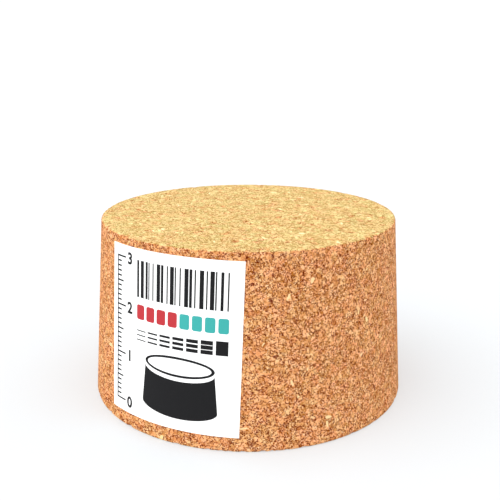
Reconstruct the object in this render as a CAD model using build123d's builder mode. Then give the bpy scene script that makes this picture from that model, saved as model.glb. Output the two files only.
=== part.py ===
from build123d import *
import math
import os

# A painting handle: a tapered block of ground and re-bonded cork, with a
# printed paper label stuck to its wall. Millimetres, +Z up. The origin is the
# centre of the wide end, which the block stands on, and the label faces -Y.

# Cork block
base_diameter = 70.4
top_diameter = 64.7
block_height = 39.5
rim_radius = 0.4

# Label: its cut size while flat, the height of its middle, and its two layers
label_width = 30.8
label_height = 34.8
label_middle_height = 20.6
adhesive_thickness = 0.05
paper_thickness = 0.10

base_radius = base_diameter / 2
top_radius = top_diameter / 2
wall_lean = math.atan2(base_radius - top_radius, block_height)
label_radius = base_radius - label_middle_height * math.tan(wall_lean)


def rolled(across, along):
    """Front view of a point of the flat label once it is rolled on to the wall.

    A cone unrolls into a flat fan, so the label keeps its straight edges there.
    The fan bends at sin(lean) / radius, and rolling it up again turns each point
    about the block's axis by its angle in the fan over sin(lean). A straight
    wall unrolls into a plain strip.
    """
    if wall_lean == 0:
        return (label_radius * math.sin(across / label_radius), label_middle_height + along)
    fan_bend = math.sin(wall_lean) / label_radius
    fan_x = across * fan_bend
    fan_y = 1 - along * fan_bend
    reach = math.hypot(fan_x, fan_y)
    turn = math.atan2(fan_x, fan_y) / math.sin(wall_lean)
    drop = (reach - 1) / fan_bend * math.cos(wall_lean)
    return (label_radius * reach * math.sin(turn), label_middle_height - drop)


# Cork block, ground to a cone and eased at both rims
with BuildPart() as cork_block:
    with BuildSketch(Plane.XZ):
        with BuildLine():
            Polyline(
                (0, 0),
                (base_radius, 0),
                (top_radius, block_height),
                (0, block_height),
                close=True,
            )
        make_face()
    revolve(axis=Axis.Z)
    fillet(cork_block.edges().filter_by(GeomType.CIRCLE), radius=rim_radius)
cork_block.part.label = "cork_block"

# The label's outline from the front: nearly upright sides, and a top and bottom
# edge that bow because the wall is a cone
half_width = label_width / 2
half_height = label_height / 2
with BuildSketch(Plane.XZ) as label_outline:
    with BuildLine():
        top_edge = Spline(
            rolled(-half_width, half_height),
            rolled(0, half_height),
            rolled(half_width, half_height),
        )
        bottom_edge = Spline(
            rolled(half_width, -half_height),
            rolled(0, -half_height),
            rolled(-half_width, -half_height),
        )
        Line(top_edge @ 1, bottom_edge @ 0)
        Line(bottom_edge @ 1, top_edge @ 0)
    make_face()

# Adhesive film, bedded on the patch of wall that the label covers
label_bed = label_outline.sketch.face().project_to_shape(cork_block.part, (0, -1, 0))
with BuildPart() as label_adhesive:
    thicken(label_bed.sort_by(Axis.Y)[0], amount=adhesive_thickness)
label_adhesive.part.label = "label_adhesive"

# Printed paper, bedded on the film's outer face, which is its largest
with BuildPart() as paper_label:
    thicken(label_adhesive.faces().sort_by(SortBy.AREA)[-1], amount=paper_thickness)
paper_label.part.label = "paper_label"

os.makedirs("parts", exist_ok=True)
for piece in (cork_block, label_adhesive, paper_label):
    export_step(piece.part, f"parts/{piece.part.label}.step")
    print(piece.part.label, "volume", round(piece.part.volume, 2), "mm3")
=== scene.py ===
import math
import bpy
from mathutils import Matrix, Vector


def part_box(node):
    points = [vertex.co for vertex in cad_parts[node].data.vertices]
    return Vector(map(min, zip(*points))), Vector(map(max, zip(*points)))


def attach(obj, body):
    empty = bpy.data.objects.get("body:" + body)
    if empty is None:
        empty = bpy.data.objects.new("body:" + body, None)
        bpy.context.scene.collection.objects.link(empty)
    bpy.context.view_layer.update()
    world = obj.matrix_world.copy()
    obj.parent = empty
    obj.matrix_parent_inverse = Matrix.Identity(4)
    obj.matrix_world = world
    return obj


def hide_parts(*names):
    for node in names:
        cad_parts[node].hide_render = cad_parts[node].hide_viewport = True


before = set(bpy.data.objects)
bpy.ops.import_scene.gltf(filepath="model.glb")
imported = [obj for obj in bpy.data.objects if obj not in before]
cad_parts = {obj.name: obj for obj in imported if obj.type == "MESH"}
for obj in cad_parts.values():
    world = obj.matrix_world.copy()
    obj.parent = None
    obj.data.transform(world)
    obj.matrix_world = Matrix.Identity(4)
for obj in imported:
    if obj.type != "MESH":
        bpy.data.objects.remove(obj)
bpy.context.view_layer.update()  # three fixed nodes on one body, root
mm = 0.001  # sizes are in metres, the frame's own unit
body = "root"


# A node tree with short ways to add and join nodes, for meshes and materials alike
class NodeBoard:
    def __init__(self, tree):
        self.tree = tree

    def wire(self, socket, value):
        if isinstance(value, bpy.types.NodeSocket):
            self.tree.links.new(value, socket)
        else:
            socket.default_value = value

    def add(self, kind, inputs=None, **settings):
        node = self.tree.nodes.new(kind)
        for name, value in settings.items():
            setattr(node, name, value)
        for key, value in (inputs or {}).items():
            self.wire(node.inputs[key], value)
        return node

    def calc(self, operation, *values):
        return self.add("ShaderNodeMath", dict(enumerate(values)), operation=operation).outputs[0]

    def total(self, *values):
        result = values[0]
        for value in values[1:]:
            result = self.calc("ADD", result, value)
        return result

    def product(self, *values):
        result = values[0]
        for value in values[1:]:
            result = self.calc("MULTIPLY", result, value)
        return result

    def less(self, first, second):
        return self.calc("SUBTRACT", first, second)

    def ratio(self, first, second):
        return self.calc("DIVIDE", first, second)

    def distance(self, x, y):
        return self.calc("SQRT", self.total(self.product(x, x), self.product(y, y)))

    def vector(self, operation, *values):
        inputs = dict(enumerate(values))
        return self.add("ShaderNodeVectorMath", inputs, operation=operation).outputs[0]

    def scaled(self, vector, factor):
        inputs = {0: vector, "Scale": factor}
        return self.add("ShaderNodeVectorMath", inputs, operation="SCALE").outputs[0]

    def split(self, vector):
        return self.add("ShaderNodeSeparateXYZ", {0: vector}).outputs

    def joined(self, x, y, z):
        return self.add("ShaderNodeCombineXYZ", {0: x, 1: y, 2: z}).outputs[0]

    def mix(self, share, first, second):
        inputs = {0: share, 2: first, 3: second}  # 2 and 3 are the number sockets
        return self.add("ShaderNodeMix", inputs, clamp_factor=False).outputs[0]

    def blend(self, share, first, second, way="MIX"):
        inputs = {0: share, 6: first, 7: second}  # 6 and 7 are the colour sockets
        return self.add("ShaderNodeMix", inputs, data_type="RGBA", blend_type=way).outputs[2]

    def fade(self, value, start, end, low=0.0, high=1.0):
        inputs = {"Value": value, "From Min": start, "From Max": end, "To Min": low, "To Max": high}
        return self.add("ShaderNodeMapRange", inputs, interpolation_type="SMOOTHSTEP").outputs[0]

    def noise(self, place, scale, detail=2.0):
        inputs = {"Vector": place, "Scale": scale, "Detail": detail}
        return self.add("ShaderNodeTexNoise", inputs).outputs

    def position(self):
        return self.add("GeometryNodeInputPosition").outputs[0]

    def objectPlace(self):
        return self.add("ShaderNodeTexCoord").outputs["Object"]


# A new group of nodes: its board, the sockets it is given and the sockets of its result
def newGroup(name, kind, inputs, outputs):
    tree = bpy.data.node_groups.new(name, kind)
    for way, sockets in (("INPUT", inputs), ("OUTPUT", outputs)):
        for socketName, socketType in sockets.items():
            tree.interface.new_socket(socketName, in_out=way, socket_type="NodeSocket" + socketType)
    given = tree.nodes.new("NodeGroupInput").outputs
    result = tree.nodes.new("NodeGroupOutput").inputs
    return NodeBoard(tree), given, result


# A tree that makes a shape from a dictionary of sizes and, if it is given one, a start mesh
def newShape(name, sizes):
    inputs = {"Geometry": "Geometry"}
    for size, value in sizes.items():
        inputs[size] = "Int" if isinstance(value, int) else "Float"
    return newGroup(name, "GeometryNodeTree", inputs, {"Geometry": "Geometry"})


# Ends such a tree: one plain mesh with one material
def closeShape(board, geometry, result, material, smooth):
    inputs = {"Geometry": geometry, "Shade Smooth": smooth}
    shaded = board.add("GeometryNodeSetShadeSmooth", inputs)
    whole = board.add("GeometryNodeRealizeInstances", {"Geometry": shaded.outputs[0]})
    inputs = {"Geometry": whole.outputs[0], "Material": material}
    painted = board.add("GeometryNodeSetMaterial", inputs)
    board.wire(result["Geometry"], painted.outputs[0])


# Runs the tree on a start mesh, or on nothing, and keeps what it makes as a plain mesh
def growPiece(name, board, sizes, start=None):
    piece = bpy.data.objects.new(name, start or bpy.data.meshes.new(name + "_start"))
    bpy.context.scene.collection.objects.link(piece)
    modifier = piece.modifiers.new("grow", "NODES")
    modifier.node_group = board.tree
    for item in board.tree.interface.items_tree:
        if item.in_out == "INPUT" and item.name in sizes:
            modifier[item.identifier] = sizes[item.name]
    grown = piece.evaluated_get(bpy.context.evaluated_depsgraph_get())
    mesh = bpy.data.meshes.new_from_object(grown)
    piece.modifiers.clear()
    piece.data = mesh
    mesh.name = name
    finish = [material for material in mesh.materials if material][0]  # a primitive adds an empty slot
    mesh.materials.clear()
    mesh.materials.append(finish)
    mesh.polygons.foreach_set("material_index", [0] * len(mesh.polygons))
    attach(piece, body)
    print(name, len(mesh.polygons), "faces in", finish.name)
    return piece


def newMaterial(name):
    material = bpy.data.materials.new(name)
    material.use_nodes = True
    shader = material.node_tree.nodes["Principled BSDF"].inputs
    return material, NodeBoard(material.node_tree), shader


# Puts a texture group in a material, where its height shapes the surface
def placeTexture(board, shader, group, strength):
    texture = board.add("ShaderNodeGroup", {"Position": board.objectPlace()}, node_tree=group).outputs
    inputs = {"Height": texture["Height"], "Strength": strength, "Distance": mm}
    board.wire(shader["Normal"], board.add("ShaderNodeBump", inputs).outputs[0])
    return texture


# Cork grain: granules and crumbs in three dimensions, the same for the mesh and for its colours
grain = {
    "granule": 1.35,  # mm across, the granules
    "chip": 0.75,  # mm across, the bits of them that are still whole
    "crumb": 0.30,  # mm across, the crumbs that the rest is ground into
    "speck": 0.22,  # mm across, the bits of bark and the holes between crumbs, the holes darkened with painted shade
    "flake": (1.3, 0.9, 0.45),  # mm, plates of pale cork and of bark, cut into slivers
    "flakeTurns": ((0.5, 0.3, 0.0), (1.3, -0.5, 0.0), (-0.9, 0.9, 0.0)),  # radians, how they lie
    "ragged": 0.12,  # mm, how far the edges of all of them wander
    "raggedScale": 2.1,  # waves in each mm of an edge
    "pit": (0.02, 0.34),  # mm inside a torn granule's edge, the lip of its pit and the floor
    "seed": (51.0, 33.0, 15.0),  # mm, where in the endless grain the block is cut
}


def grainPlace(board, position):
    place = board.scaled(position, 1 / mm)
    place = board.vector("ADD", place, grain["seed"])
    noise = board.noise(place, grain["raggedScale"])["Color"]
    wander = board.vector("SUBTRACT", noise, (0.5, 0.5, 0.5))  # half of it either way
    return board.vector("ADD", place, board.scaled(wander, 2 * grain["ragged"]))


def grainCells(board, place, size, feature):
    inputs = {"Vector": place, "Scale": 1 / size}
    return board.add("ShaderNodeTexVoronoi", inputs, feature=feature).outputs


# Three random values of the cell at a place
def cellValues(board, place, size):
    return board.split(grainCells(board, place, size, "F1")["Color"])


# How far the edge of that cell is, in mm
def cellEdge(board, place, size):
    return board.product(grainCells(board, place, size, "DISTANCE_TO_EDGE")["Distance"], size)


# Cork block
corkBlock = {
    "Base Radius": 35.2 * mm,
    "Top Radius": 32.35 * mm,
    "Height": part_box("cork_block")[1].z,
    "Rim Radius": 0.4 * mm,
    "Steps Across": 129,
    "Steps Up": 93,
    "Rim Crowding": 0.045,  # how strongly the mesh rows gather at the rims
    "Tear Share": 0.16,  # share of granules torn out of the ground face
    "Tear Depth": 0.16 * mm,  # on average
    "Rim Chip Share": 0.34,
    "Rim Chip Width": 0.9 * mm,
}


def buildCorkShape(material):
    board, given, result = newShape("corkBlock", corkBlock)
    cube = board.add("GeometryNodeMeshCube", {
        "Size": (2, 2, 2),
        "Vertices X": given["Steps Across"],
        "Vertices Y": given["Steps Across"],
        "Vertices Z": given["Steps Up"],
    })
    x, y, z = board.split(board.position())
    halfHeight = board.product(given["Height"], 0.5)

    # Rows crowd towards the rims: gap * gap / (gap + crowding), scaled to end where it began
    def crowded(value):
        gap = board.less(1, board.calc("ABSOLUTE", value))
        drawn = board.ratio(board.product(gap, gap), board.total(gap, given["Rim Crowding"]))
        drawn = board.product(drawn, board.total(1, given["Rim Crowding"]))
        return board.product(board.calc("SIGN", value), board.less(1, drawn))

    def wallRadius(height):
        return board.mix(board.ratio(height, given["Height"]), given["Base Radius"], given["Top Radius"])

    # The cube's square section becomes a round one
    isWide = board.calc("GREATER_THAN", board.calc("ABSOLUTE", x), board.calc("ABSOLUTE", y))
    turnWide = board.product(board.ratio(y, x), math.pi / 4)
    turnDeep = board.less(math.pi / 2, board.product(board.ratio(x, y), math.pi / 4))
    turn = board.mix(isWide, turnDeep, turnWide)
    reach = crowded(board.mix(isWide, y, x))

    # Taper it, then ease both rims on an arc of the rim radius
    level = board.product(crowded(z), halfHeight)
    radius = wallRadius(board.total(level, halfHeight))
    coreRadius = board.less(radius, given["Rim Radius"])
    coreLevel = board.less(halfHeight, given["Rim Radius"])
    overOut = board.less(board.product(board.calc("ABSOLUTE", reach), radius), coreRadius)
    overUp = board.less(board.calc("ABSOLUTE", level), coreLevel)
    atRim = board.product(board.calc("GREATER_THAN", overOut, 0), board.calc("GREATER_THAN", overUp, 0))
    easing = board.mix(atRim, 1, board.ratio(given["Rim Radius"], board.distance(overOut, overUp)))
    out = board.total(coreRadius, board.product(overOut, easing))
    out = board.product(out, board.calc("SIGN", reach))
    up = board.total(coreLevel, board.product(overUp, easing))
    up = board.product(up, board.calc("SIGN", level))
    tapered = board.joined(
        board.product(out, board.calc("COSINE", turn)),
        board.product(out, board.calc("SINE", turn)),
        board.total(up, halfHeight),
    )
    inputs = {"Geometry": cube.outputs["Mesh"], "Position": tapered}
    ground = board.add("GeometryNodeSetPosition", inputs)

    # Torn granules leave shallow pits, more of them along the rims
    place = grainPlace(board, board.position())
    granule = cellValues(board, place, grain["granule"])
    granuleEdge = cellEdge(board, place, grain["granule"])
    x, y, z = board.split(board.position())
    fromWall = board.less(wallRadius(z), board.distance(x, y))
    fromEnd = board.less(halfHeight, board.calc("ABSOLUTE", board.less(z, halfHeight)))
    fromRim = board.calc("MAXIMUM", fromWall, fromEnd)
    nearRim = board.fade(fromRim, 0.0, given["Rim Chip Width"], 1.0, 0.0)
    share = board.mix(nearRim, given["Tear Share"], given["Rim Chip Share"])
    isTorn = board.calc("LESS_THAN", granule[2], share)
    depth = board.product(given["Tear Depth"], board.total(granule[0], 0.5))  # 0.5 to 1.5 of it
    depth = board.product(depth, isTorn, board.fade(granuleEdge, *grain["pit"]))
    normal = board.add("GeometryNodeInputNormal").outputs[0]
    inward = board.scaled(normal, board.product(depth, -1))
    inputs = {"Geometry": ground.outputs[0], "Offset": inward}
    pitted = board.add("GeometryNodeSetPosition", inputs)
    closeShape(board, pitted.outputs[0], result, material, True)
    return board


corkFinish = {
    "wall": {
        # the darkest colour: bits of bark, and painted shade for the holes between crumbs
        "barkAndShade": (0.108, 0.004, 0.000, 1),
        "brown": (0.345, 0.105, 0.013, 1),
        "tan": (0.685, 0.315, 0.125, 1),
        "light": (0.875, 0.508, 0.272, 1),
        "cream": (0.800, 0.570, 0.295, 1),
        "pink": (1.03, 0.94, 0.96, 1),  # pink and straw multiply a granule's colours
        "straw": (0.98, 1.06, 1.00, 1),
    },
    "ends": {  # painted light: paler and yellower than the wall, as the brightly lit top looks; the base gets the same
        "barkAndShade": (0.240, 0.112, 0.012, 1),
        "brown": (0.440, 0.280, 0.082, 1),
        "tan": (0.660, 0.480, 0.208, 1),
        "light": (0.850, 0.690, 0.355, 1),
        "cream": (0.850, 0.700, 0.400, 1),
        "pink": (1.03, 0.89, 0.88, 1),
        "straw": (0.985, 1.07, 1.03, 1),
    },
    "paintedLightReach": 0.25,  # mm, how far down the rims the painted light reaches
    "crumbContrast": 0.92,
    "granuleContrast": 0.20,
    "chipContrast": 0.48,
    "chipShare": 0.40,
    "chipCalm": 0.40,  # contrast inside a chip over that of the crumbs
    "speckShare": (0.60, 0.20),  # share of dark specks at the edges of crumbs, and inside them; those at the edges are partly painted shade in the gaps
    "chipSpecks": 0.03,  # the same inside a chip
    "crumbReach": (0.0, 0.10),  # mm inside a crumb's edge, where its specks thin out
    "chipReach": (0.03, 0.13),  # mm inside a chip's edge
    "speckStrength": (0.35, 1.0),  # from the palest speck to the darkest
    "flakeShare": 0.0018,  # pale ones, for each way that they lie
    "barkShare": 0.001,
    "barkStrength": 0.8,
    "speckDepth": 0.10,  # mm
    "crumbRelief": 0.05,  # mm
    "bump": 0.7,  # strength of that relief
    "roughness": (0.82, 0.98),  # of the crumbs, and of the darkest specks
    "specular": 0.03,
}


# One surface's colour: crumbs from brown to light, then dark specks (bark bits, and painted shade in the
# holes) and pale flakes, then the tint
def corkColour(board, colours, tone, speck, flake, tint):
    ramp = board.add("ShaderNodeValToRGB", {"Fac": tone})
    stops = ramp.color_ramp.elements
    stops[0].color = colours["brown"]
    stops[1].color = colours["light"]
    stops.new(0.5).color = colours["tan"]
    # Specks take the darkest colour: real bark, and painted shade in the gaps between crumbs
    colour = board.blend(speck, ramp.outputs["Color"], colours["barkAndShade"])
    colour = board.blend(flake, colour, colours["cream"])
    tintColour = board.blend(tint, colours["pink"], colours["straw"])
    return board.blend(1.0, colour, tintColour, "MULTIPLY")


def buildCorkGrain():
    outputs = {"Colour": "Color", "Height": "Float", "Specks": "Float"}
    board, given, result = newGroup("corkGrain", "ShaderNodeTree", {"Position": "Vector"}, outputs)
    place = grainPlace(board, given["Position"])
    granule = cellValues(board, place, grain["granule"])
    chip = cellValues(board, place, grain["chip"])
    crumb = cellValues(board, place, grain["crumb"])
    bit = cellValues(board, place, grain["speck"])
    isChip = board.calc("LESS_THAN", chip[0], corkFinish["chipShare"])

    def around(value, contrast):
        return board.product(board.less(value, 0.5), contrast)

    # Tone runs from 0, brown, to 1, light
    calm = board.mix(isChip, 1, corkFinish["chipCalm"])
    tone = board.total(
        0.5,
        board.product(around(crumb[0], corkFinish["crumbContrast"]), calm),
        around(granule[1], corkFinish["granuleContrast"]),
        board.product(isChip, around(chip[1], corkFinish["chipContrast"])),
    )

    # Dark specks gather along the edges of the crumbs and chips: real bark bits, and painted shade in
    # the gaps between them
    beside, inside = corkFinish["speckShare"]
    crumbEdge = cellEdge(board, place, grain["crumb"])
    chipEdge = cellEdge(board, place, grain["chip"])
    crumbSpecks = board.fade(crumbEdge, *corkFinish["crumbReach"], beside, inside)
    chipSpecks = board.fade(chipEdge, *corkFinish["chipReach"], beside, corkFinish["chipSpecks"])
    isSpeck = board.calc("LESS_THAN", bit[0], board.mix(isChip, crumbSpecks, chipSpecks))
    speck = board.product(isSpeck, board.fade(bit[1], 0, 1, *corkFinish["speckStrength"]))

    # Flakes lie three ways, some pale and fewer of bark
    flake = 0.0
    for turn in grain["flakeTurns"]:
        inputs = {"Vector": place, "Rotation": turn}
        turned = board.add("ShaderNodeVectorRotate", inputs, rotation_type="EULER_XYZ").outputs[0]
        chance = cellValues(board, board.vector("DIVIDE", turned, grain["flake"]), 1)[0]
        isPale = board.calc("LESS_THAN", chance, corkFinish["flakeShare"])
        isBark = board.calc("GREATER_THAN", chance, 1 - corkFinish["barkShare"])
        flake = board.calc("MAXIMUM", flake, isPale)
        speck = board.calc("MAXIMUM", speck, board.product(isBark, corkFinish["barkStrength"]))

    halfHeight = corkBlock["Height"] / 2
    fromMiddle = board.calc("ABSOLUTE", board.less(board.split(given["Position"])[2], halfHeight))
    # Painted light: the end faces take the paler ends palette, which stands in for the bright light on
    # the top
    paintedLightShare = board.fade(fromMiddle, halfHeight - corkFinish["paintedLightReach"] * mm, halfHeight)
    wallColour = corkColour(board, corkFinish["wall"], tone, speck, flake, granule[2])
    endColour = corkColour(board, corkFinish["ends"], tone, speck, flake, granule[2])
    board.wire(result["Colour"], board.blend(paintedLightShare, wallColour, endColour))
    relief = board.product(tone, corkFinish["crumbRelief"])
    board.wire(result["Height"], board.less(relief, board.product(speck, corkFinish["speckDepth"])))
    board.wire(result["Specks"], speck)
    return board.tree


def buildCorkMaterial():
    material, board, shader = newMaterial("groundCork")
    texture = placeTexture(board, shader, buildCorkGrain(), corkFinish["bump"])
    board.wire(shader["Base Color"], texture["Colour"])
    board.wire(shader["Roughness"], board.fade(texture["Specks"], 0, 1, *corkFinish["roughness"]))
    board.wire(shader["Specular IOR Level"], corkFinish["specular"])
    return material


corkPiece = growPiece("cork_body", buildCorkShape(buildCorkMaterial()), corkBlock)
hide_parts("cork_block")


# Label: paper and ink are laid out flat, then rolled on to the tapered wall
wallLean = math.atan2(corkBlock["Base Radius"] - corkBlock["Top Radius"], corkBlock["Height"])
labelMiddle = 20.6 * mm
labelSeat = {
    "Middle Height": labelMiddle,
    "Wall Radius": corkBlock["Base Radius"] - labelMiddle * math.tan(wallLean),
    "Lean": wallLean,
}
paperSheet = {
    "Width": 30.8 * mm,
    "Height": 34.8 * mm,
    "Film": 0.05 * mm,  # adhesive under the paper
    "Paper": 0.10 * mm,
    "Columns": 78,
    "Rows": 88,
}


# A cone unrolls into a flat fan, so each flat point is read as a place in the fan
def buildRollGroup():
    inputs = {"Geometry": "Geometry"} | {name: "Float" for name in labelSeat}
    board, given, result = newGroup("rollOnWall", "GeometryNodeTree", inputs, {"Geometry": "Geometry"})
    across, along, lift = board.split(board.position())
    sine = board.calc("SINE", given["Lean"])
    cosine = board.calc("COSINE", given["Lean"])
    bend = board.ratio(sine, given["Wall Radius"])
    fanX = board.product(across, bend)
    fanY = board.less(1, board.product(along, bend))
    reach = board.distance(fanX, fanY)
    turn = board.ratio(board.calc("ARCTAN2", fanX, fanY), sine)
    drop = board.ratio(board.less(reach, 1), bend)
    out = board.total(board.product(given["Wall Radius"], reach), board.product(lift, cosine))
    up = board.less(given["Middle Height"], board.product(drop, cosine))
    place = board.joined(
        board.product(out, board.calc("SINE", turn)),
        board.product(out, board.calc("COSINE", turn), -1),
        board.total(up, board.product(lift, sine)),
    )
    inputs = {"Geometry": given["Geometry"], "Position": place}
    rolled = board.add("GeometryNodeSetPosition", inputs)
    board.wire(result["Geometry"], rolled.outputs[0])
    return board.tree


rollGroup = buildRollGroup()


def closeRolled(board, geometry, result, material):
    roll = board.add("GeometryNodeGroup", labelSeat | {"Geometry": geometry}, node_tree=rollGroup)
    closeShape(board, roll.outputs[0], result, material, False)


def moved(board, geometry, offset, scale=(1, 1, 1)):
    inputs = {0: geometry, "Translation": offset, "Scale": scale}
    return board.add("GeometryNodeTransform", inputs).outputs[0]


def buildPaperShape(material):
    board, given, result = newShape("paperSheet", paperSheet)
    sheet = board.add("GeometryNodeMeshCube", {
        "Size": board.joined(given["Width"], given["Height"], given["Paper"]),
        "Vertices X": given["Columns"],
        "Vertices Y": given["Rows"],
        "Vertices Z": 2,
    })
    middle = board.total(given["Film"], board.product(given["Paper"], 0.5))
    raised = moved(board, sheet.outputs[0], board.joined(0, 0, middle))
    closeRolled(board, raised, result, material)
    return board


# Paper fibres, and the cork's granules showing faintly through the sheet
paperTooth = {
    "relief": 0.006,  # mm
    "bump": 0.6,  # strength of that relief
    "fibreScale": 9000.0,
    "fibreDetail": 3.0,
    "fibreShare": 0.35,  # share of the relief, the rest is granules
    "granuleReach": 0.4,  # mm from a granule's edge to where the sheet is level
    "roughnessSpread": 0.06,
    "specular": 0.08,
}


def buildPaperTooth():
    outputs = {"Fibre": "Float", "Height": "Float"}
    board, given, result = newGroup("paperTooth", "ShaderNodeTree", {"Position": "Vector"}, outputs)
    fibre = board.noise(given["Position"], paperTooth["fibreScale"], paperTooth["fibreDetail"])["Fac"]
    granuleEdge = cellEdge(board, grainPlace(board, given["Position"]), grain["granule"])
    granule = board.fade(granuleEdge, 0.0, paperTooth["granuleReach"])
    swell = board.mix(paperTooth["fibreShare"], granule, fibre)
    board.wire(result["Fibre"], fibre)
    board.wire(result["Height"], board.product(swell, paperTooth["relief"]))
    return board.tree


toothGroup = buildPaperTooth()
sheetFinishes = {  # colour of the fibres, colour between them, roughness
    "labelPaper": ((0.90, 0.90, 0.90, 1), (0.86, 0.86, 0.855, 1), 0.55),
    "blackInk": ((0.012, 0.012, 0.013, 1), (0.008, 0.008, 0.009, 1), 0.45),
    "redInk": ((0.43, 0.038, 0.046, 1), (0.39, 0.030, 0.038, 1), 0.45),
    "tealInk": ((0.050, 0.35, 0.33, 1), (0.040, 0.32, 0.30, 1), 0.45),
}


def buildSheetMaterial(name):
    fibre, hollow, roughness = sheetFinishes[name]
    spread = paperTooth["roughnessSpread"]
    material, board, shader = newMaterial(name)
    texture = placeTexture(board, shader, toothGroup, paperTooth["bump"])
    uneven = board.fade(texture["Fibre"], 0, 1, roughness - spread, roughness + spread)
    board.wire(shader["Base Color"], board.blend(texture["Fibre"], hollow, fibre))
    board.wire(shader["Roughness"], uneven)
    board.wire(shader["Specular IOR Level"], paperTooth["specular"])
    return material


paperShape = buildPaperShape(buildSheetMaterial("labelPaper"))
paperPiece = growPiece("label_sheet", paperShape, paperSheet)
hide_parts("paper_label")


# Print: flat faces, fine enough to follow the wall, get the thickness of ink and are rolled on
ink = {
    "level": paperSheet["Film"] + paperSheet["Paper"],
    "thickness": 0.012 * mm,
    "merge": 0.0005 * mm,  # points this close are one
}


def gathered(board, parts):
    whole = board.add("GeometryNodeJoinGeometry")
    for part in parts:
        board.wire(whole.inputs[0], part)
    return whole.outputs[0]


def merged(board, geometry):
    inputs = {"Geometry": geometry, "Distance": ink["merge"]}
    return board.add("GeometryNodeMergeByDistance", inputs).outputs[0]


def closePrint(board, flat, result, material, cuts=0):
    whole = board.add("GeometryNodeRealizeInstances", {"Geometry": flat})
    inputs = {"Mesh": merged(board, whole.outputs[0]), "Level": cuts}
    fine = board.add("GeometryNodeSubdivideMesh", inputs)
    under = moved(board, fine.outputs[0], (0, 0, ink["level"]))
    upper = board.add("GeometryNodeExtrudeMesh", {
        "Mesh": under,
        "Offset": (0, 0, 1),
        "Offset Scale": ink["thickness"],
        "Individual": False,
    })
    back = board.add("GeometryNodeFlipFaces", {"Mesh": under})
    solid = merged(board, gathered(board, [upper.outputs[0], back.outputs[0]]))
    closeRolled(board, solid, result, material)


# A flat patch with its corner at the origin, so that a scale sets its size
def unitPatch(board, columns=2, rows=2):
    inputs = {"Size X": 1, "Size Y": 1, "Vertices X": columns, "Vertices Y": rows}
    return moved(board, board.add("GeometryNodeMeshGrid", inputs).outputs[0], (0.5, 0.5, 0))


# A centimetre scale up the label's left side
rulerPrint = {
    "Left": -13.9 * mm,
    "Bottom": -15.15 * mm,
    "Millimetres": 30,
    "Stroke": 0.35 * mm,
    "Short Tick": 1.2 * mm,
    "Middle Tick": 1.9 * mm,
    "Long Tick": 2.7 * mm,
    "Hairline": 0.005 * mm,  # keeps the ticks a separate shape from the spine
    "Tick Points": 7,
    "Spine Points": 31,
}


def buildRulerPrint(material):
    board, given, result = newShape("rulerPrint", rulerPrint)
    tickLeft = board.total(given["Left"], given["Stroke"], given["Hairline"])
    ticks = board.add("GeometryNodeMeshLine", {
        "Count": board.total(given["Millimetres"], 1),
        "Start Location": board.joined(tickLeft, given["Bottom"], 0),
        "Offset": (0, mm, 0),
    })
    index = board.add("GeometryNodeInputIndex").outputs[0]

    def isEvery(count):
        return board.calc("LESS_THAN", board.calc("MODULO", index, count), 0.5)

    length = board.mix(isEvery(5), given["Short Tick"], given["Middle Tick"])
    length = board.mix(isEvery(10), length, given["Long Tick"])
    marks = board.add("GeometryNodeInstanceOnPoints", {
        "Points": ticks.outputs[0],
        "Instance": unitPatch(board, columns=given["Tick Points"]),
        "Scale": board.joined(length, given["Stroke"], 1),
    })
    spineHeight = board.total(board.product(given["Millimetres"], mm), given["Stroke"])
    corner = board.joined(given["Left"], given["Bottom"], 0)
    spineSize = board.joined(given["Stroke"], spineHeight, 1)
    spine = moved(board, unitPatch(board, rows=given["Spine Points"]), corner, spineSize)
    closePrint(board, gathered(board, [marks.outputs[0], spine]), result, material)
    return board


# Figures at the long ticks: thickened text, one line for each centimetre, made a flat mesh
figureText = {
    "size": 3.2 * mm,
    "boldness": 0.11 * mm,
    "curveSteps": 4,
    "gap": 0.9 * mm,  # from the long ticks
    "drop": 0.95 * mm,  # below its tick, so that a figure's middle is level with it
}
figurePrint = {
    "Left": rulerPrint["Left"] + rulerPrint["Long Tick"] + figureText["gap"],
    "Bottom": rulerPrint["Bottom"] - figureText["drop"],
}


def buildFigureMesh():
    centimetres = range(rulerPrint["Millimetres"] // 10 + 1)
    text = bpy.data.curves.new("figures", "FONT")
    text.body = "\n".join(str(centimetre) for centimetre in reversed(centimetres))
    text.space_line = 10 * mm / figureText["size"]
    text.offset = figureText["boldness"] / figureText["size"]
    text.resolution_u = figureText["curveSteps"]
    holder = bpy.data.objects.new("figures", text)
    bpy.context.scene.collection.objects.link(holder)
    drawn = holder.evaluated_get(bpy.context.evaluated_depsgraph_get())
    flat = bpy.data.meshes.new_from_object(drawn)
    flat.transform(Matrix.Scale(figureText["size"], 4))
    bpy.data.objects.remove(holder)
    return flat


def buildFigurePrint(material):
    board, given, result = newShape("figurePrint", figurePrint)
    top = board.total(given["Bottom"], rulerPrint["Millimetres"] * mm)
    figures = moved(board, given["Geometry"], board.joined(given["Left"], top, 0))
    closePrint(board, figures, result, material, cuts=1)
    return board


# A sign of the block: its top as a ring, its wall as a solid
blockPrint = {
    "Across": 2.75 * mm,  # where its middle is
    "Top": -4.5 * mm,
    "Top Half Width": 7.6 * mm,
    "Base Half Width": 8.3 * mm,
    "Wall Height": 7.6 * mm,
    "Flatness": 0.27,  # height of the ring over its width
    "Ring": 0.65 * mm,
    "Ring Thinning": 0.75,  # the ring is thinner front and back
    "Gap": 0.80 * mm,
    "Ring Points": 65,
    "Wall Columns": 33,
    "Wall Rows": 12,
}


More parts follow.
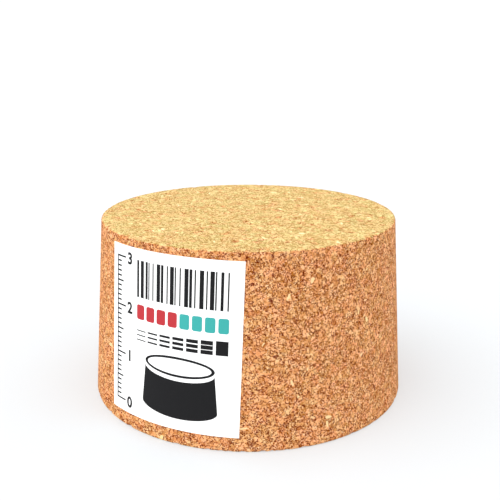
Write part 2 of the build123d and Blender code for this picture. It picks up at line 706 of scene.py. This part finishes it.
def buildBlockPrint(material):
    board, given, result = newShape("blockPrint", blockPrint)

    # Bends a patch round the block, where the three functions say how it runs up the patch
    def bentPatch(columns, rows, halfTurn, halfWidth, halfDepth, height):
        patch = unitPatch(board, columns, rows)
        u, v = board.split(board.position())[:2]
        turn = board.mix(u, -halfTurn, halfTurn)
        across = board.total(given["Across"], board.product(halfWidth(v), board.calc("SINE", turn)))
        sag = board.product(halfDepth(v), board.calc("COSINE", turn))
        place = board.joined(across, board.less(height(v), sag), 0)
        inputs = {"Geometry": patch, "Position": place}
        return board.add("GeometryNodeSetPosition", inputs).outputs[0]

    def ringWidth(v):
        return board.less(given["Top Half Width"], board.product(v, given["Ring"]))

    def ringDepth(v):
        outer = board.product(given["Top Half Width"], given["Flatness"])
        return board.less(outer, board.product(v, given["Ring"], given["Ring Thinning"]))

    def ringHeight(v):
        return given["Top"]

    def wallWidth(v):
        return board.mix(v, given["Base Half Width"], given["Top Half Width"])

    def wallDepth(v):
        return board.product(wallWidth(v), given["Flatness"])

    def wallHeight(v):
        drop = board.product(board.less(1, v), given["Wall Height"])
        return board.less(board.less(given["Top"], given["Gap"]), drop)

    ring = bentPatch(given["Ring Points"], 2, math.pi, ringWidth, ringDepth, ringHeight)
    columns, rows = given["Wall Columns"], given["Wall Rows"]
    wall = bentPatch(columns, rows, math.pi / 2, wallWidth, wallDepth, wallHeight)
    closePrint(board, gathered(board, [ring, wall]), result, material)
    return board


columnLeft = -7.3 * mm  # where the print right of the figures begins


# A row of hatched steps from light to dark
stepPrint = {
    "Left": columnLeft,
    "Bottom": -1.0 * mm,
    "Steps": 7,
    "Stripes": 3,
    "Step Width": 2.40 * mm,
    "Step Pitch": 2.95 * mm,
    "Stripe Pitch": 0.95 * mm,
    "Stripe Points": 5,
    "Lightest": 0.24,  # share of the first step that is inked
}


def buildStepPrint(material):
    board, given, result = newShape("stepPrint", stepPrint)
    index = board.add("GeometryNodeInputIndex").outputs[0]
    step = board.calc("MODULO", index, given["Steps"])
    row = board.calc("FLOOR", board.ratio(index, given["Steps"]))
    points = board.add("GeometryNodePoints", {
        "Count": board.product(given["Steps"], given["Stripes"]),
        "Position": board.joined(
            board.total(given["Left"], board.product(step, given["Step Pitch"])),
            board.total(given["Bottom"], board.product(row, given["Stripe Pitch"])),
            0,
        ),
    })
    inked = board.mix(board.ratio(step, board.less(given["Steps"], 1)), given["Lightest"], 1)
    stripes = board.add("GeometryNodeInstanceOnPoints", {
        "Points": points.outputs[0],
        "Instance": unitPatch(board, columns=given["Stripe Points"]),
        "Scale": board.joined(given["Step Width"], board.product(inked, given["Stripe Pitch"]), 1),
    })
    closePrint(board, stripes.outputs[0], result, material)
    return board


# Rows of colour pips, round at the corners
redPips = {
    "Left": columnLeft,
    "Bottom": 3.3 * mm,
    "Pips": 4,
    "Pitch": 2.58 * mm,
    "Width": 2.04 * mm,
    "Height": 3.0 * mm,
    "Corner": 0.45 * mm,
    "Corner Points": 5,
}
tealPips = redPips | {"Left": redPips["Left"] + redPips["Pips"] * redPips["Pitch"]}


def buildPipPrint(material):
    board, given, result = newShape("pipPrint", redPips)
    inputs = {"Width": given["Width"], "Height": given["Height"]}
    outline = board.add("GeometryNodeCurvePrimitiveQuadrilateral", inputs)
    inputs = {"Curve": outline.outputs[0], "Count": given["Corner Points"], "Radius": given["Corner"]}
    rounded = board.add("GeometryNodeFilletCurve", inputs, mode="POLY")
    filled = board.add("GeometryNodeFillCurve", {0: rounded.outputs[0]})
    row = board.add("GeometryNodeMeshLine", {
        "Count": given["Pips"],
        "Start Location": board.joined(
            board.total(given["Left"], board.product(given["Width"], 0.5)),
            board.total(given["Bottom"], board.product(given["Height"], 0.5)),
            0,
        ),
        "Offset": board.joined(given["Pitch"], 0, 0),
    })
    inputs = {"Points": row.outputs[0], "Instance": filled.outputs[0]}
    pips = board.add("GeometryNodeInstanceOnPoints", inputs)
    closePrint(board, pips.outputs[0], result, material, cuts=2)
    return board


# A row of bars of random width, which spells nothing
barPrint = {
    "Left": columnLeft,
    "Bottom": 7.75 * mm,
    "Bars": 20,
    "Pitch": 1.02 * mm,
    "Step": 0.28 * mm,
    "Widest": 3,  # steps, and the space that a bar has
    "Height": 7.4 * mm,
    "Bar Columns": 3,
    "Bar Rows": 9,
    "Seed": 5,
}


def buildBarPrint(material):
    board, given, result = newShape("barPrint", barPrint)
    columns = board.add("GeometryNodeMeshLine", {
        "Count": given["Bars"],
        "Start Location": board.joined(given["Left"], given["Bottom"], 0),
        "Offset": board.joined(given["Pitch"], 0, 0),
    })

    def randomSteps(lowest, highest, seed):
        inputs = {4: lowest, 5: highest, "Seed": seed}  # 4 and 5 are the whole number sockets
        return board.add("FunctionNodeRandomValue", inputs, data_type="INT").outputs[2]

    width = randomSteps(1, given["Widest"], given["Seed"])
    shift = randomSteps(0, board.less(given["Widest"], width), board.total(given["Seed"], 1))
    shifted = board.add("GeometryNodeSetPosition", {
        "Geometry": columns.outputs[0],
        "Offset": board.joined(board.product(shift, given["Step"]), 0, 0),
    })
    bars = board.add("GeometryNodeInstanceOnPoints", {
        "Points": shifted.outputs[0],
        "Instance": unitPatch(board, given["Bar Columns"], given["Bar Rows"]),
        "Scale": board.joined(board.product(width, given["Step"]), given["Height"], 1),
    })
    closePrint(board, bars.outputs[0], result, material)
    return board


blackInk = buildSheetMaterial("blackInk")
growPiece("label_ruler", buildRulerPrint(blackInk), rulerPrint)
growPiece("label_figures", buildFigurePrint(blackInk), figurePrint, buildFigureMesh())
growPiece("label_block_sign", buildBlockPrint(blackInk), blockPrint)
growPiece("label_tone_steps", buildStepPrint(blackInk), stepPrint)
growPiece("label_bars", buildBarPrint(blackInk), barPrint)
growPiece("label_red_pips", buildPipPrint(buildSheetMaterial("redInk")), redPips)
growPiece("label_teal_pips", buildPipPrint(buildSheetMaterial("tealInk")), tealPips)


# The adhesive film shows only as a line at the paper's edge
adhesiveFilm = {
    "cloudScale": 700.0,
    "cloudDetail": 3.0,
    "deep": (0.72, 0.66, 0.55, 1),
    "pale": (0.86, 0.83, 0.76, 1),
    "roughness": (0.25, 0.45),
}


def buildAdhesiveMaterial():
    material, board, shader = newMaterial("tackyFilm")
    scale, detail = adhesiveFilm["cloudScale"], adhesiveFilm["cloudDetail"]
    cloud = board.noise(board.objectPlace(), scale, detail)["Fac"]
    board.wire(shader["Base Color"], board.blend(cloud, adhesiveFilm["deep"], adhesiveFilm["pale"]))
    board.wire(shader["Roughness"], board.fade(cloud, 0, 1, *adhesiveFilm["roughness"]))
    return material


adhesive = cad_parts["label_adhesive"]
adhesive.data.materials.clear()
adhesive.data.materials.append(buildAdhesiveMaterial())
print("label_adhesive in", adhesive.data.materials[0].name)


# Studio: camera, light and floor
viewpoint = {
    "azimuth": 28.025,  # degrees, from the label towards the bare wall
    "elevation": 15.973,
    "distance": 167.5 * mm,
    "lookHeight": 30.57 * mm,
    "lens": 53.05,
    "sensor": 36,
    "roll": 0.108,  # degrees
    "shiftX": 0.0033,  # share of the picture's width
    "clipStart": 1 * mm,
}


def towards(azimuth, elevation):
    turn, rise = math.radians(azimuth), math.radians(elevation)
    return Vector((math.sin(turn) * math.cos(rise), -math.cos(turn) * math.cos(rise), math.sin(rise)))


# Turns a camera or lamp that stands in this direction to look back at the block
def facing(direction):
    return (-direction).to_track_quat("-Z", "Y").to_matrix().to_4x4()


def addCamera():
    camera = bpy.data.objects.new("camera", bpy.data.cameras.new("camera"))
    bpy.context.scene.collection.objects.link(camera)
    back = towards(viewpoint["azimuth"], viewpoint["elevation"])
    target = Vector((0, 0, viewpoint["lookHeight"]))
    roll = Matrix.Rotation(math.radians(viewpoint["roll"]), 4, "Z")
    camera.matrix_world = Matrix.Translation(target + back * viewpoint["distance"]) @ facing(back) @ roll
    camera.data.lens = viewpoint["lens"]
    camera.data.sensor_width = viewpoint["sensor"]
    camera.data.shift_x = viewpoint["shiftX"]
    camera.data.clip_start = viewpoint["clipStart"]
    bpy.context.scene.camera = camera


studio = {
    "skyLight": 0.90,
    "skySeen": 1.05,  # what the camera sees past the floor
    "lamps": {  # degrees left of the camera, degrees up, strength
        "key": (90, 30, 1.40),
        "front": (45, 30, 2.00),
        "fill": (-90, 33, 1.57),
    },
    "lampSpread": 100,  # degrees across, so shadows stay soft
    "floorSize": 12.0,  # metres across
    "floorHole": 66 * mm,  # open under the block, so that its base shows from below
    "floorGap": 0.01 * mm,  # clear of the base, so that no two faces share a plane
    "floorSteps": 96,
    "floorColor": (0.385, 0.403, 0.417, 1),  # cool, against the warm light from the cork
    "floorGlow": 0.36,  # keeps the shadow pale
    "floorRoughness": 0.9,
}
white = (1, 1, 1, 1)


def addLight():
    world = bpy.data.worlds.new("studioWorld")
    bpy.context.scene.world = world
    world.use_nodes = True
    board = NodeBoard(world.node_tree)
    isSeen = board.add("ShaderNodeLightPath").outputs["Is Camera Ray"]
    sky = world.node_tree.nodes["Background"].inputs
    board.wire(sky["Color"], white)
    board.wire(sky["Strength"], board.mix(isSeen, studio["skyLight"], studio["skySeen"]))
    for name, (left, rise, strength) in studio["lamps"].items():
        lamp = bpy.data.objects.new(name, bpy.data.lights.new(name, "SUN"))
        bpy.context.scene.collection.objects.link(lamp)
        lamp.matrix_world = facing(towards(viewpoint["azimuth"] - left, rise))
        lamp.data.energy = strength
        lamp.data.angle = math.radians(studio["lampSpread"])


# A flat ring round the block
def buildFloorMesh():
    steps = studio["floorSteps"]
    points = []
    for radius in (studio["floorHole"] / 2, studio["floorSize"] / 2):
        for step in range(steps):
            turn = 2 * math.pi * step / steps
            points.append((radius * math.cos(turn), radius * math.sin(turn), -studio["floorGap"]))
    faces = []
    for step in range(steps):
        following = (step + 1) % steps
        faces.append((step, step + steps, following + steps, following))
    mesh = bpy.data.meshes.new("studio_floor")
    mesh.from_pydata(points, [], faces)
    return mesh


def addFloor():
    floor = bpy.data.objects.new("studio_floor", buildFloorMesh())
    bpy.context.scene.collection.objects.link(floor)
    material, board, shader = newMaterial("paleFloor")
    board.wire(shader["Base Color"], studio["floorColor"])
    board.wire(shader["Emission Color"], white)
    board.wire(shader["Emission Strength"], studio["floorGlow"])
    board.wire(shader["Roughness"], studio["floorRoughness"])
    board.wire(shader["Specular IOR Level"], 0.0)
    floor.data.materials.append(material)


addCamera()
addLight()
addFloor()
bpy.context.scene.view_settings.view_transform = "Standard"
print("studio ready")
